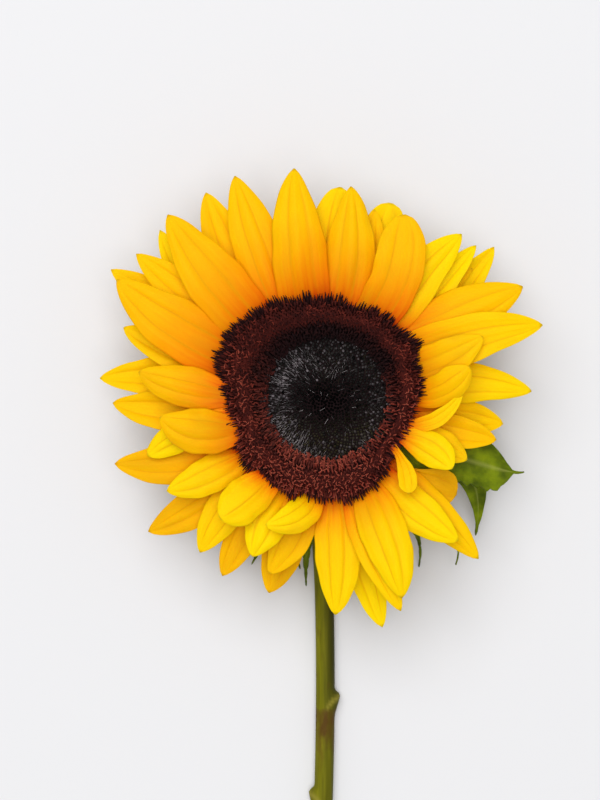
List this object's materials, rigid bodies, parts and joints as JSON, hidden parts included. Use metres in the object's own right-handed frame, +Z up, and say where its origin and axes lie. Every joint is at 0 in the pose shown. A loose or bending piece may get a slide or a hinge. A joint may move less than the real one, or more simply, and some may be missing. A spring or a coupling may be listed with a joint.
{
  "type": "cut sunflower",
  "caption": "Cut sunflower lying face up on its back: domed receptacle, dark floret disc, overlapping yellow petals, green bracts and a bare stem with leaf stubs.",
  "frame": {"origin": "on the surface that the flower lies on, under the middle of the outline of the whole flower", "axes": "+Z up, out of the flower's face; the stem runs along -Y from the head at +Y; +X to the right as the face is looked down on with the stem at the bottom"},
  "size_m": [0.1488, 0.3768, 0.0522],
  "materials": {
    "stalk": "satin",
    "leaf": "matte",
    "open_floret": "matte",
    "closed_floret": "satin",
    "petal": "satin"
  },
  "bodies": {
    "root": {"stem": "stalk", "receptacle": "leaf", "open_florets": "open_floret", "closed_florets": "closed_floret", "petal_01": "petal", "petal_02": "petal", "petal_03": "petal", "petal_04": "petal", "petal_05": "petal", "petal_06": "petal", "petal_07": "petal", "petal_08": "petal", "petal_09": "petal", "petal_10": "petal", "petal_11": "petal", "petal_12": "petal", "petal_13": "petal", "petal_14": "petal", "petal_15": "petal", "petal_16": "petal", "petal_17": "petal", "petal_18": "petal", "petal_19": "petal", "petal_20": "petal", "petal_21": "petal", "petal_22": "petal", "petal_23": "petal", "petal_24": "petal", "petal_25": "petal", "petal_26": "petal", "petal_27": "petal", "petal_28": "petal", "petal_29": "petal", "petal_30": "petal", "petal_31": "petal", "petal_32": "petal", "petal_33": "petal", "petal_34": "petal", "petal_35": "petal", "petal_36": "petal", "petal_37": "petal", "petal_38": "petal", "petal_39": "petal", "petal_40": "petal", "petal_41": "petal", "petal_42": "petal", "petal_43": "petal", "petal_44": "petal", "petal_45": "petal", "petal_46": "petal", "bract_01": "leaf", "bract_02": "leaf", "bract_03": "leaf", "bract_04": "leaf", "bract_05": "leaf", "bract_06": "leaf", "bract_07": "leaf", "bract_08": "leaf", "bract_09": "leaf", "bract_10": "leaf"}
  },
  "joints": []
}
